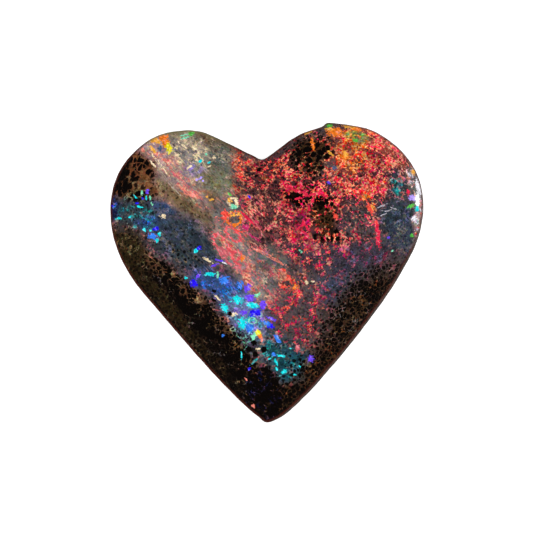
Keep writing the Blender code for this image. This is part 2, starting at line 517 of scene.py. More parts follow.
# the ground of the stone in broad areas, each laid over the ones before: where in mm, radii in mm, turn in
# degrees, width of its edge, ground, two colours of vein, and the amounts of vein, dark grain and milky
# veil;
# the veil is partly the stone's own milkiness and partly a painted reflection of the polish's gloss
areas = [
    # the left lobe
    ((-8.4, 9.6), (6.6, 5.2), -30, 0.35, "greyRose", "beige", "salmon", (0.52, 0.15, 0.25)),
    ((-8.0, 13.5), (4.6, 1.0), -4, 0.6, "khaki", "beige", "tan", (0.50, 0.20, 0.25)),
    ((-9.4, 9.8), (5.8, 1.6), -46, 0.6, "mauve", "salmon", "cream", (0.50, 0.05, 0.30)),
    ((-5.0, 12.3), (2.2, 1.0), -24, 0.5, "brown", "tan", "beige", (0.35, 0.30, 0.20)),
    ((-7.0, 11.1), (2.8, 1.5), -28, 0.5, "paleAsh", "beige", "cream", (0.48, 0.26, 0.10)),
    ((-6.8, 9.5), (0.9, 0.6), 0, 0.7, "steel", "lilac", "beige", (0.36, 0.10, 0.20)),
    ((-4.4, 10.2), (1.5, 2.0), 0, 0.6, "greenGrey", "ash", "beige", (0.42, 0.30, 0.04)),
    ((-4.6, 8.4), (2.0, 1.5), -20, 0.6, "oliveGrey", "beige", "khaki", (0.46, 0.22, 0.06)),
    ((-5.5, 6.9), (1.0, 0.6), -10, 0.6, "brown", "amber", "salmon", (0.58, 0.15, 0.05)),
    ((-6.7, 6.3), (4.8, 1.3), -33, 0.5, "brown", "tan", "khaki", (0.36, 0.36, 0.12)),
    ((-7.4, 7.7), (2.8, 0.7), -38, 0.6, "greyRose", "salmon", "beige", (0.50, 0.05, 0.25)),
    ((-12.9, 9.2), (2.6, 2.3), 28, 0.22, "rustBrown", "tan", "rust", (0.20, 0.60, 0.00)),
    ((-13.4, 8.4), (1.7, 1.3), -20, 0.4, "rustBrown", "tan", "rust", (0.12, 0.72, 0.00)),
    ((-13.9, 9.8), (0.9, 1.5), -25, 0.3, "ironstone", "redLine", "rust", (0.12, 0.60, 0.00)),
    ((-11.2, 7.9), (1.5, 0.7), -20, 0.5, "rustBrown", "tan", "khaki", (0.30, 0.44, 0.05)),
    ((-12.0, 6.9), (1.8, 0.8), -10, 0.4, "umber", "khaki", "tan", (0.28, 0.52, 0.00)),
    ((-12.4, 5.5), (3.2, 1.2), -12, 0.4, "slate", "ash", "teal", (0.34, 0.36, 0.10)),
    ((-9.6, 5.9), (1.4, 0.5), -20, 0.6, "slateBlue", "steel", "ash", (0.28, 0.30, 0.02)),
    ((-10.4, 4.4), (1.8, 0.8), -8, 0.5, "slateBlue", "azure", "teal", (0.36, 0.25, 0.10)),
    ((-14.5, 6.0), (0.6, 1.2), 0, 0.5, "navy", "azure", "steel", (0.25, 0.30, 0.10)),
    ((-8.0, 3.1), (3.0, 2.4), -35, 0.4, "slate", "ash", "steel", (0.32, 0.34, 0.12)),
    ((-7.4, 1.3), (2.0, 0.9), -35, 0.6, "slate", "tan", "ash", (0.30, 0.45, 0.05)),
    ((-5.3, 1.9), (1.2, 1.7), 35, 0.5, "slate", "steel", "ash", (0.24, 0.30, 0.15)),
    # the blue band and the teal below it
    ((-5.3, -0.9), (2.0, 1.0), -25, 0.5, "slateBlue", "azure", "steel", (0.38, 0.15, 0.20)),
    ((-3.2, -2.2), (2.4, 1.3), -45, 0.5, "slateBlue", "steel", "azure", (0.40, 0.15, 0.15)),
    ((-2.0, -4.2), (2.4, 1.8), -50, 0.4, "steel", "lilac", "cyan", (0.38, 0.25, 0.12)),
    ((-4.2, -4.6), (1.6, 0.9), -50, 0.5, "purpleGrey", "steel", "rose", (0.28, 0.35, 0.10)),
    ((-2.6, -6.4), (1.6, 0.9), -30, 0.5, "purpleGrey", "steel", "mint", (0.28, 0.48, 0.08)),
    ((1.5, -7.4), (2.4, 1.7), -40, 0.4, "deepTeal", "teal", "ash", (0.26, 0.36, 0.05)),
    ((2.8, -9.0), (2.1, 1.3), 10, 0.4, "deepTeal", "teal", "ash", (0.26, 0.46, 0.02)),
    # the rings and the pale haze below them
    ((-3.0, 4.6), (2.2, 2.6), 15, 0.4, "ash", "melon", "salmon", (0.16, 0.26, 0.05)),
    ((-3.4, 2.4), (2.0, 1.2), -50, 0.5, "oliveGrey", "salmon", "melon", (0.04, 0.34, 0.05)),
    ((-1.7, 0.9), (3.8, 1.4), -52, 0.6, "paleAsh", "salmon", "beige", (0.42, 0.14, 0.20)),
    ((-0.7, -0.7), (3.0, 1.3), -48, 0.6, "paleAsh", "rose", "salmon", (0.44, 0.18, 0.12)),
    ((0.3, 1.2), (1.8, 1.2), -40, 0.6, "greenGrey", "steel", "salmon", (0.26, 0.16, 0.15)),
    ((0.9, -1.2), (2.2, 1.3), -35, 0.6, "ash", "rose", "beige", (0.36, 0.24, 0.05)),
    # the red field
    ((4.6, 6.6), (5.4, 5.0), 0, 0.5, "wine", "coral", "melon", (0.50, 0.32, 0.00)),
    ((-2.1, 9.0), (1.1, 2.8), 8, 0.3, "smoke", "salmon", "coral", (0.48, 0.28, 0.05)),
    ((-0.4, 5.8), (2.0, 3.0), 10, 0.6, "redSmoke", "rose", "salmon", (0.34, 0.32, 0.05)),
    ((0.4, 9.6), (2.4, 1.5), 20, 0.5, "redSmoke", "coral", "melon", (0.38, 0.38, 0.02)),
    ((3.8, 7.1), (2.5, 1.4), -10, 0.5, "blackBrown", "crimson", "crimson", (0.66, 0.40, 0.00)),
    ((3.5, 4.3), (1.2, 2.6), -6, 0.5, "wine", "crimson", "magenta", (0.62, 0.36, 0.00)),
    ((5.3, 5.3), (1.3, 1.5), 20, 0.5, "umber", "rust", "coral", (0.26, 0.45, 0.00)),
    ((5.9, 3.3), (2.0, 0.8), 0, 0.4, "blackBrown", "rust", "coral", (0.24, 0.60, 0.00)),
    ((2.6, 7.0), (1.2, 0.6), -20, 0.4, "ironstone", "crimson", "coral", (0.20, 0.60, 0.00)),
    ((5.0, 6.7), (1.3, 0.6), -10, 0.4, "ironstone", "crimson", "coral", (0.18, 0.60, 0.00)),
    ((4.6, 11.0), (2.6, 2.0), -10, 0.4, "umber", "brown", "coral", (0.26, 0.60, 0.00)),
    ((6.4, 9.6), (1.2, 1.5), 0, 0.5, "smoke", "salmon", "coral", (0.36, 0.34, 0.00)),
    ((7.6, 7.6), (1.5, 2.0), 0, 0.5, "wine", "melon", "coral", (0.50, 0.34, 0.00)),
    ((10.2, 10.8), (3.8, 3.4), -30, 0.35, "wine", "coral", "melon", (0.56, 0.28, 0.00)),
    ((8.0, 11.4), (1.6, 2.1), -12, 0.4, "rustRed", "coral", "orange", (0.74, 0.20, 0.00)),
    ((10.6, 12.5), (3.2, 1.2), -38, 0.4, "rustRed", "coral", "melon", (0.72, 0.18, 0.00)),
    ((12.4, 11.0), (2.4, 1.0), -52, 0.5, "rustRed", "melon", "salmon", (0.72, 0.15, 0.02)),
    ((8.4, 12.8), (1.1, 0.5), -15, 0.4, "khaki", "leaf", "orange", (0.25, 0.25, 0.10)),
    ((10.2, 8.0), (1.7, 0.6), 8, 0.4, "rustRed", "coral", "melon", (0.85, 0.12, 0.00)),
    ((9.5, 6.4), (0.5, 1.2), 22, 0.5, "wine", "coral", "orange", (0.80, 0.18, 0.00)),
    ((8.4, 4.6), (1.6, 2.0), 0, 0.6, "smoke", "melon", "rose", (0.30, 0.32, 0.02)),
    ((12.2, 8.2), (1.0, 1.4), 0, 0.5, "slate", "teal", "rose", (0.26, 0.30, 0.05)),
    # at the right edge: white veins over grey, partly a painted highlight where the polish catches the
    # light
    ((13.9, 8.6), (0.7, 2.0), 8, 0.5, "ash", "salmon", "white", (0.40, 0.20, 0.05)),
    ((12.1, 5.0), (2.0, 1.8), -20, 0.4, "slate", "steel", "ash", (0.26, 0.30, 0.05)),
    ((12.7, 3.2), (1.5, 1.3), 30, 0.5, "dusk", "ash", "greenGrey", (0.26, 0.28, 0.08)),
    # lower on that edge: white veins again, partly a painted highlight
    ((14.3, 5.0), (0.5, 1.6), 0, 0.5, "greyRose", "coral", "white", (0.40, 0.20, 0.00)),
    # below the red field
    ((5.6, 1.5), (3.4, 1.5), -12, 0.5, "purpleGrey", "crimson", "rose", (0.44, 0.26, 0.05)),
    ((9.2, 1.5), (2.8, 1.2), 6, 0.5, "purpleGrey", "magenta", "steel", (0.18, 0.28, 0.15)),
    ((6.6, -1.4), (2.8, 1.5), 30, 0.6, "dusk", "steel", "garnet", (0.18, 0.30, 0.15)),
    ((2.8, -1.3), (1.8, 1.3), -30, 0.5, "smoke", "coral", "salmon", (0.32, 0.30, 0.05)),
    ((2.9, -4.2), (2.7, 2.5), -20, 0.6, "smoke", "garnet", "crimson", (0.32, 0.28, 0.10)),
]

# ironstone without opal, with an edge that follows its grains, and last an olive band along the lower-left
# flank that is a painted reflection of the polish; the rest is as for the areas
barrenAndSheenAreas = [
    ((-34.2, -31.0), (40.2, 40.2), 0, 0.008, "barkLight", "rustBrown", "tan", (0.24, 0.66, 0.00)),
    ((-35.0, -31.8), (40.2, 40.2), 0, 0.012, "blackBrown", "brown", "ash", (0.03, 0.74, 0.00)),
    ((10.8, -5.2), (6.4, 5.2), 42, 0.30, "bark", "rustBrown", "ash", (0.18, 0.62, 0.00)),
    ((5.8, -9.6), (3.2, 2.6), 48, 0.30, "bark", "rustBrown", "rust", (0.18, 0.60, 0.00)),
    ((2.5, -13.2), (4.6, 2.9), 0, 0.15, "bark", "rust", "umber", (0.14, 0.64, 0.00)),
    ((-0.4, -12.0), (1.8, 3.4), 4, 0.12, "ironstone", "umber", "navy", (0.24, 0.60, 0.00)),
    ((-13.2, 1.8), (1.9, 2.6), 25, 0.45, "oliveBlack", "brown", "khaki", (0.12, 0.42, 0.10)),
    # a painted reflection: a faint olive-brown band that the polished shoulder of the lower-left flank
    # reflects
    ((-9.1, -3.6), (7.4, 0.6), -49, 0.9, "darkOlive", "oliveBrown", "umber", (0.06, 0.40, 0.15)),
]

# flecks of pure colour, and on the right edge a few that are a painted highlight: where across and up in
# mm, two radii in mm, and turn in degrees
flecks = {
    "orange": [
        (-9.85, 12.75, 0.55, 0.4, 0), (-9.55, 12.2, 0.35, 0.5, 20), (-0.65, -5.95, 0.2, 0.4, 30),
        (6.4, 13.3, 0.75, 0.5, 0), (8.4, 13.6, 0.7, 0.25, -15), (4.3, 12.1, 0.16, 0.6, 8),
        (7.3, 11, 0.3, 0.5, 15), (2.6, -1.35, 0.2, 0.3, -20), (-2.25, 1.35, 0.2, 0.28, -20),
        (9.0, 6.9, 0.16, 0.25, 0),
    ],
    "amber": [
        (-10.6, 12.5, 0.6, 0.25, -20), (-10.75, 11.6, 0.5, 0.17, -50), (-10.2, 12.25, 0.3, 0.15, -40),
        (-5.6, 7.1, 0.14, 0.10, 0), (-5.2, 6.8, 0.16, 0.10, 20), (-3.5, 6.8, 0.25, 0.16, -40),
        (5.9, 13.6, 0.3, 0.2, 0), (7.7, 13.85, 0.6, 0.2, -8), (4, 13.35, 0.45, 0.15, 35),
        (7.35, 11.1, 0.2, 0.35, 0), (5.95, 11.2, 0.35, 0.12, -45), (9.7, 6, 0.25, 0.3, 0),
        (13.8, 9.5, 0.25, 0.3, 0),
    ],
    "yellow": [
        (-9.2, 11.7, 0.3, 0.5, 20), (-0.85, -5.6, 0.28, 0.28, 0),
    ],
    "salmon": [
        (-11.7, 11.6, 0.14, 0.26, 20), (-11.2, 11.2, 0.2, 0.08, -50), (-6.9, 7.25, 0.7, 0.25, -25),
        (-0.5, -6.3, 0.15, 0.3, 30), (-2, -10, 0.08, 0.2, 35), (-1.3, -12.6, 0.12, 0.16, 30),
    ],
    "mint": [
        (-7.8, 12.98, 0.4, 0.09, 10), (-7.55, 12.78, 0.36, 0.08, 15), (-7.9, 12.65, 0.3, 0.07, 5),
        (-5.7, 11.15, 0.12, 0.12, 0), (-3.05, 6.15, 0.35, 0.2, 0), (-11.7, 7.45, 0.09, 0.25, 10),
        (-10.95, 7, 0.09, 0.24, 10), (-10.75, 6.4, 0.08, 0.2, 20), (-4.6, -0.2, 0.12, 0.3, 0),
        (-0.9, -2.1, 0.3, 0.18, 30), (-1.25, -6.0, 0.2, 0.42, -15), (3.0, 2.1, 0.11, 0.09, 0),
        (3.2, 1.9, 0.08, 0.09, 0), (11.8, 2.05, 0.14, 0.1, 0),
    ],
    "leaf": [
        (-7.15, 13.15, 0.35, 0.2, 0), (-3.6, 7.3, 0.3, 0.12, -20), (5.85, 14, 0.35, 0.3, -30),
        (8.3, 12.45, 0.3, 0.15, -15), (13.5, 6.25, 0.4, 0.16, 20), (13.7, 3.5, 0.15, 0.15, 0),
    ],
    "cream": [
        (-7.8, 11.85, 0.35, 0.1, -40), (-4.95, 10.85, 0.14, 0.2, 0), (-8.3, 12.3, 0.2, 0.06, -50),
        (-6.4, 10.9, 0.25, 0.06, -45), (-5.4, 10.0, 0.2, 0.06, 30), (-7.2, 9.9, 0.3, 0.12, 40),
        (-10.7, 10.2, 0.45, 0.1, -50), (-2.9, 6.6, 0.1, 0.4, 20), (-9.7, 5.25, 0.28, 0.2, 0),
        (-5.5, 1.15, 0.4, 0.12, -30), (-4.6, -2.4, 0.12, 0.5, 40), (-3.15, -3.85, 0.35, 0.18, -10),
        (-0.8, -7.15, 0.2, 0.12, 0), (3.7, -0.95, 0.14, 0.14, 0), (4.3, -0.8, 0.16, 0.08, 0),
    ],
    "cyan": [
        (-6.2, 10.45, 0.2, 0.1, 20), (-5.45, 10.3, 0.2, 0.1, 20), (-12.35, 7.1, 0.26, 0.08, -40),
        (-11.3, 7.0, 0.08, 0.2, 0), (-12, 6.2, 0.3, 0.1, -20), (-11.5, 4, 0.14, 0.24, 20),
        (-10, 3.6, 0.16, 0.2, 0), (-10.9, 3.9, 0.14, 0.14, 0), (-12.9, 5.2, 0.12, 0.1, 0),
        (-10.3, 3.0, 0.12, 0.14, 0), (-14, 5.1, 0.35, 0.12, 0), (-6.65, 2.05, 0.3, 0.22, 20),
        (-5.4, -0.15, 0.5, 0.16, 0), (-7.55, -0.5, 0.2, 0.12, 0), (-2.8, -2.55, 0.42, 0.4, 0),
        (-3.4, -2.7, 0.2, 0.07, 10), (-1.35, -3.05, 0.6, 0.3, -12), (-4, -3.3, 0.28, 0.45, 35),
        (-2.25, -4.8, 0.34, 0.6, 20), (2.2, -7.05, 0.25, 0.08, -15), (1.3, -7.8, 0.3, 0.12, -15),
        (0.85, -8.4, 0.1, 0.3, 20), (0.95, -9.0, 0.12, 0.2, 0), (1.55, -9.3, 0.3, 0.16, 30),
        (1.2, -9.7, 0.2, 0.06, 10), (2.6, -9.6, 0.12, 0.08, 0), (3.1, -8.8, 0.14, 0.06, -30),
        (0.3, -8.0, 0.3, 0.07, 30), (-2.4, -7.7, 0.08, 0.35, 0), (14.15, 6.05, 0.22, 0.22, 0),
    ],
    "lilac": [
        (-6.2, 8.85, 0.2, 0.1, 20), (-6.55, 8.7, 0.12, 0.12, 0), (-6.0, 8.6, 0.1, 0.14, 0),
        # the last is a painted highlight on the right edge
        (13.7, 7, 0.4, 0.3, 0),
    ],
    "violet": [
        (-11.2, 7.6, 0.16, 0.24, -20), (-4.4, 1.15, 0.4, 0.1, -10), (-4.9, 0.7, 0.35, 0.1, 15),
        (-6.4, -0.3, 0.14, 0.35, -35), (-1.8, -1.4, 0.3, 0.4, -30), (-1.6, -2.35, 0.5, 0.3, -20),
        (-0.35, -3, 0.3, 0.4, 0), (-2.1, -3.7, 0.35, 0.25, 0), (0.4, -4.3, 0.5, 0.15, -25),
        (4.1, -8.1, 0.3, 0.3, 40), (5.8, 8.4, 0.2, 0.15, 0), (11.4, 3.3, 0.14, 0.12, 0),
    ],
    "blue": [
        (-11.65, 6.9, 0.14, 0.11, 0), (-12.2, 6.5, 0.2, 0.08, 0), (-10.4, 4.1, 0.25, 0.2, 10),
        (-14.6, 6.3, 0.12, 0.12, 0), (-6.35, 2.25, 0.2, 0.2, 0), (-6.85, -0.95, 0.3, 0.35, 30),
        (-1.08, -3.74, 0.62, 0.34, 20), (-1.7, -5.4, 0.2, 0.18, 0), (0.32, -4.95, 0.36, 0.26, -40),
        (-1.7, -9, 0.15, 0.15, 0), (-1.7, 7.1, 0.12, 0.2, 30),
    ],
    "azure": [
        (-10.7, 3.4, 0.4, 0.25, -20), (-4, -0.7, 0.4, 0.35, 20), (-2.5, -1.2, 0.3, 0.3, 0),
        (-1.6, -5.15, 0.45, 0.35, -30), (-0.08, -4.7, 0.45, 0.2, -15), (1, -6.2, 0.2, 0.5, 25),
        (0.65, -7.65, 0.3, 0.12, -25), (-4.1, -5.9, 0.16, 0.12, 0),
    ],
    "teal": [
        (-12.4, 4.3, 0.22, 0.12, 0), (-1.2, -8.3, 0.5, 0.12, 40), (12.2, 7.7, 0.3, 0.22, 0),
    ],
    "white": [
        # the last two, on the right edge, are a painted highlight where the polish catches the light
        (-4, 0.9, 0.28, 0.07, -25), (14.3, 8, 0.22, 0.8, 12), (13.9, 5.1, 0.35, 0.2, 0),
    ],
    "rose": [
        (2.85, -7.1, 0.25, 0.3, 0),
    ],
    "coral": [
        (9.6, 6.0, 0.18, 0.7, 25), (6.35, 5.3, 0.16, 0.3, 20), (-3.95, 5.3, 0.36, 0.5, 0),
        (10.2, 4.5, 0.18, 0.5, 10), (1.4, 0.25, 0.55, 0.1, -8), (2.1, -0.55, 0.12, 0.45, 25),
        (1.7, -1.35, 0.5, 0.1, 10),
    ],
    "steel": [
        (6.3, 9.8, 0.2, 0.2, -40), (-10.05, 11.6, 0.25, 0.35, -20),
    ],
    "magenta": [
        (-2.0, 4.2, 0.4, 0.28, 0), (-1.3, 3.3, 0.7, 0.1, -30), (-2.6, 6.75, 0.25, 0.08, 45),
    ],
    "frost": [
        (10.7, 6.2, 0.5, 0.06, 25), (11.2, 5.8, 0.55, 0.06, 5), (10.9, 5.4, 0.5, 0.05, 30),
        (11.9, 6.0, 0.4, 0.05, -20), (13.6, 9.2, 0.3, 0.1, -60),
    ],
    "melon": [
        (-4.75, 3.5, 0.4, 0.22, 20), (-3.6, 2.2, 0.3, 0.14, -40), (-2.9, 0.9, 0.4, 0.12, -40),
    ],
    "crimson": [
        (2.2, 8.0, 0.4, 0.13, -35), (2.9, 7.6, 0.36, 0.15, -10), (3.6, 7.3, 0.4, 0.14, -30),
        (4.3, 7.3, 0.36, 0.17, 10), (4.9, 7.5, 0.3, 0.12, 30), (3.2, 8.2, 0.12, 0.4, 15),
        (4.2, 6.6, 0.15, 0.45, -15), (3.9, 6.0, 0.12, 0.3, 20), (5.3, 7.2, 0.3, 0.1, -20),
        (3.0, 6.9, 0.4, 0.1, 10), (3.4, 4.6, 0.2, 0.3, -30), (3.7, 4.2, 0.12, 0.35, 20),
        (3.3, 3.7, 0.26, 0.14, 0), (3.7, 3.3, 0.2, 0.15, 30), (3.0, 4.2, 0.26, 0.08, 30),
        (10.35, 3.6, 0.2, 1.2, 8), (-1.8, 5.05, 0.85, 0.12, -45), (13.3, 7.6, 0.2, 0.25, 0),
    ],
}

# curled strands of colour: colour, where in mm, radii in mm, turn in degrees, and width as a share of
# the radius
curls = [
    ("melon", (-4.25, 2.70), (1.05, 0.50), -52, 0.24),
    ("melon", (-3.15, 3.55), (0.85, 0.42), -40, 0.26),
    ("orange", (-3.04, 4.95), (0.72, 0.50), 0, 0.26),
    ("amber", (-3.00, 5.50), (0.50, 0.16), 0, 0.60),
    ("rose", (-3.50, 1.25), (1.15, 0.28), -42, 0.45),
    ("coral", (-2.60, 4.75), (1.10, 0.80), -42, 0.07),
    ("cream", (-3.20, 6.60), (0.42, 0.36), 0, 0.26),
    ("melon", (-2.87, 1.60), (0.45, 0.38), -30, 0.30),
    ("rose", (-1.40, 4.10), (1.10, 0.55), -45, 0.10),
    ("salmon", (0.2, 1.5), (1.4, 0.10), -28, 0.35),
    ("rose", (-0.9, -0.5), (1.8, 0.12), -50, 0.20),
    ("mint", (-1.40, -4.50), (0.36, 0.28), 0, 0.24),
    ("cream", (-10.1, 10.2), (1.1, 0.07), -52, 0.40),
    ("salmon", (-8.8, 9.6), (1.4, 0.08), -48, 0.40),
    ("beige", (-9.3, 8.6), (1.3, 0.08), -50, 0.40),
    ("rose", (-7.6, 8.2), (1.5, 0.10), -42, 0.40),
]

# the patterns inside every area. Sizes are in mm, a move sets one noise apart from another, and a range
# gives the noise's values between which a ramp runs and, where it has four numbers, what it gives there
pattern = {
    "drift": (2.4, 0.50),  # size and push of the noise that bends the areas
    "ragged": (0.55, 0.30, 3),  # the same of a finer one, with its detail
    "move": (31.7, 17.3, 0),
    "firstAmounts": (0.2, 0.35, 0.15, 1),  # of vein, grain and veil (partly painted sheen), where no area is laid
    "fibreSize": 0.20,
    "crumbSize": 0.16,
    "gritSize": 0.7,
    "gritShares": (0.5, 0.5, 0.4),  # of soft lumps, of crumbs, and of fibres where the veins run in streaks
    "gritRange": (0.34, 0.66, 0.45, 1.7),
    "tintMove": (5.5, 1.5, 0),
    "tintSize": 0.24,
    "streakTintSize": 0.12,
    "tintShare": 0.65,
    "hazeAndSheenRange": (0.4, 1.7, 0.8, 1.2),  # the grit's light, and what is left of it in the milky, partly painted sheen
    "barrenAndSheenEdge": 0.8,  # how closely the edge of barren ironstone, and of the painted olive band, follows its grains
}
veinForm = {
    "bend": (0.35, 0.12),
    "sizes": (0.50, 0.25),
    "streakSizes": (0.24, 0.13),
    "widths": (0.14, 0.16),  # of the large lines and the fine ones, in the noise's value
    "fineMove": (9.1, 4.7, 0),
    "breakMove": (2.3, 6.1, 0),
    "breakSize": 0.9,
    "breakRange": (0.36, 0.64),
    "shares": (0.38, 0.24, 0.50),  # of large lines, fine lines and breaks
    "streak": (48, 0.30),  # the turn that brings the streaks along X, and how thin they are
    "streaky": ((-5.6, 5.4), (10.5, 5.6), -48, 0.5),  # where the veins run in streaks
    "streakyLumps": (1.8, 1.0),  # size and detail of the noise that thins the streaks out
    "streakyRange": (0.40, 0.60),
    "streakyShares": (0.35, 0.6),  # what is streaky everywhere there, and what more in the lumps
    "streakShare": 0.9,
    "sparkleSize": 0.14,
    "streakSparkle": 0.10,
    "sparkleShare": 0.12,
    "clumpSize": 1.1,
    "clumpRange": (0.32, 0.68, 0.5, 1.2),
    "toneMove": (3.3, 8.8, 0),
    "toneSize": 0.6,
    "toneRange": (0.40, 0.60),  # between the two colours of vein
    "threshold": (0.90, 0.62),  # veins stand above the first, less the second times the amount of vein
    "edgeRange": (-0.08, 0.16),
    "threadRange": (0.50, 0.60),
    "threadShare": 1.5,
    "hueRange": (0.0, 1.0, 0.48, 0.54),
    "saturationRange": (1.0, 0.0, 0.85, 1.2),
    "lightRange": (0.0, 1.0, 0.50, 1.40),
    "sparkRange": (0.86, 0.99),
    "sparkShare": 0.5,
}
grainForm = {
    "bend": (0.45, 0.16, 3.0),
    "sizes": (0.42, 0.74),
    "scatterMove": (7.7, 2.9, 0),
    "scatterSize": 0.8,
    "scatterRange": (0.36, 0.60, 0.82, 1.10),
    "rag": 0.4,
    "reach": 1.42,  # how large the grains get as their amount grows
    "edgeRange": (0.08, -0.12),
    "coverRange": (0.20, 0.50, 0.55, 1.0),  # the ground shows through where grains are few
}
fleckForm = {
    "bend": (0.42, 0.16, 3),
    "rag": (2.2, 2.8),  # of the edges, by fibres and by crumbs
    "curlRag": 1.6,  # in widths of the strand, as its range is
    "curlRange": (1.1, 0.4),
    "fleckRag": 0.7,
    "fleckRange": (1.12, 0.78),
    "grainRag": 0.3,
    "grainRange": (1.15, 0.75),
    "gleamRange": (0.0, 1.0, 0.80, 1.25),
    "fibreRange": (0.36, 0.58, 0.75, 1.1),
    "iceRange": (0.54, 0.66),  # pale threads in the flecks
    "iceShare": 0.22,
}
coarseAreas = [
    ((-13.2, 8.9), (2.8, 2.4)),
    ((-1.1, -7.3), (1.2, 1.0)),
    ((4.8, 11.0), (2.0, 1.4)),
    ((5.4, 3.6), (2.0, 1.0)),
]
darkGrains = [
    (-5.0, -2.6, 0.25, 0.2, 0), (-5, -1.75, 0.2, 0.15, 0), (-3.5, -3.8, 0.28, 0.2, 20),
    (-4.3, -5.2, 0.3, 0.25, 0), (-1.2, -6.6, 0.3, 0.25, 0), (-1.7, -7.2, 0.35, 0.3, 0),
    (-1.1, -7.6, 0.3, 0.3, 0), (-0.3, -7.2, 0.35, 0.3, 0), (-3.1, -6.2, 0.3, 0.2, 0),
    (-0.8, 9.7, 0.25, 0.3, -30), (-1.0, 9.1, 0.2, 0.2, 0),
]


def layAreas(place, listed, chains):
    # the ground, both vein colours and the amounts, each as one chain of mixes over the listed areas
    for at, size, turn, edge, groundName, oneName, twoName, amounts in listed:
        mask = place.patch(at, size, turn, edge)
        laid = (colour(groundName), colour(oneName), colour(twoName), (*amounts, 1))
        chains = [mask.mix(below, above) for below, above in zip(chains, laid)]
    return chains


def weave(place, large, small):
    # thin lines where a noise crosses its middle value, in two sizes, broken up by softer lumps
    width, fineWidth = veinForm["widths"]
    share, fineShare, breakShare = veinForm["shares"]
    lines = abs(place.cloud(large, 2.0) - 0.5).ramp(width, 0.0)
    fineLines = abs(place.shifted(veinForm["fineMove"]).cloud(small, 1.0) - 0.5).ramp(fineWidth, 0.0)
    breaks = place.shifted(veinForm["breakMove"]).cloud(veinForm["breakSize"], 3.0)
    breaks = breaks.ramp(*veinForm["breakRange"])
    return lines * share + fineLines * fineShare + breaks * breakShare


def channel(wire, name):
    return wire.node("ShaderNodeSeparateColor", {}, {"Color": wire}, name)


def nearestOf(place, listed):
    # how far out this place is from the nearest of the ellipses
    nearest = None
    for x, y, length, height, turn in listed:
        here = place.reach((x, y), (length, height), turn)
        nearest = here if nearest is None else nearest.least(here)
    return nearest


